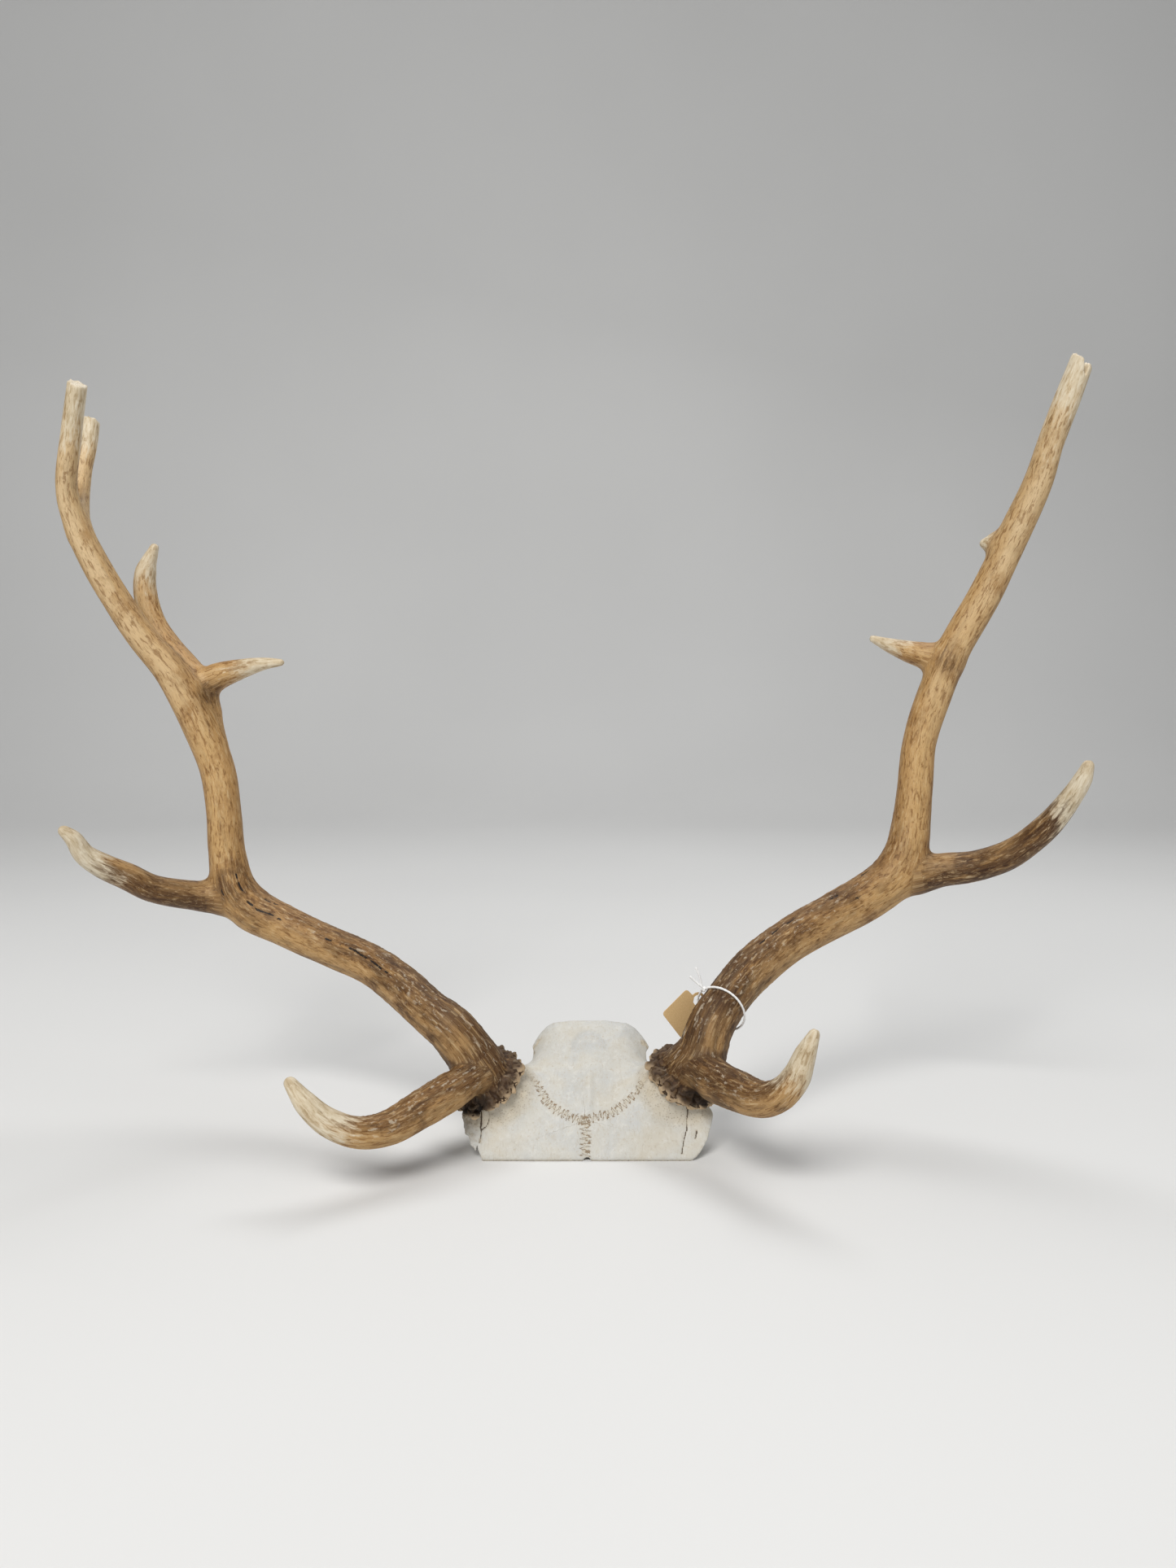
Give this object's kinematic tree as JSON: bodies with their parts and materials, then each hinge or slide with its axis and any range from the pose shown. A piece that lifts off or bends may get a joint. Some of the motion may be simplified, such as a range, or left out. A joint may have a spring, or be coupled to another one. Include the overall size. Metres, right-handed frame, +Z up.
{
  "type": "deer skull cap with antlers",
  "caption": "Sawn deer skull cap standing on its flat cut, both round tined antlers still attached, with a blank kraft tag tied on one beam by white string",
  "frame": {"origin": "In the plane of the sawn base, on the midline, in the middle of the bar of bone behind the front sawn edge", "axes": "+Z up, away from the sawn base; +X to the right as seen from the front, along the spread of the antlers; +Y from the brow towards the nape"},
  "size_m": [0.6189, 0.1813, 0.4654],
  "materials": {
    "bone": "dry matte bone",
    "antler": "rough antler, worn smooth on its ridges",
    "antler_tine": "antler polished towards the tips",
    "string": "matte cotton",
    "card": "matte kraft card"
  },
  "bodies": {
    "root": {"skull_cap": "bone", "left_lower_beam": "antler", "left_brow_tine": "antler_tine", "left_middle_tine": "antler_tine", "left_upper_beam": "antler", "left_rear_top_tip": "antler_tine", "left_back_tine": "antler_tine", "left_inner_tine": "antler_tine", "right_lower_beam": "antler", "right_brow_tine": "antler_tine", "right_middle_tine": "antler_tine", "right_upper_beam": "antler", "right_inner_tine": "antler_tine", "tag_string": "string", "string_knot": "string", "paper_tag": "card"}
  },
  "joints": []
}
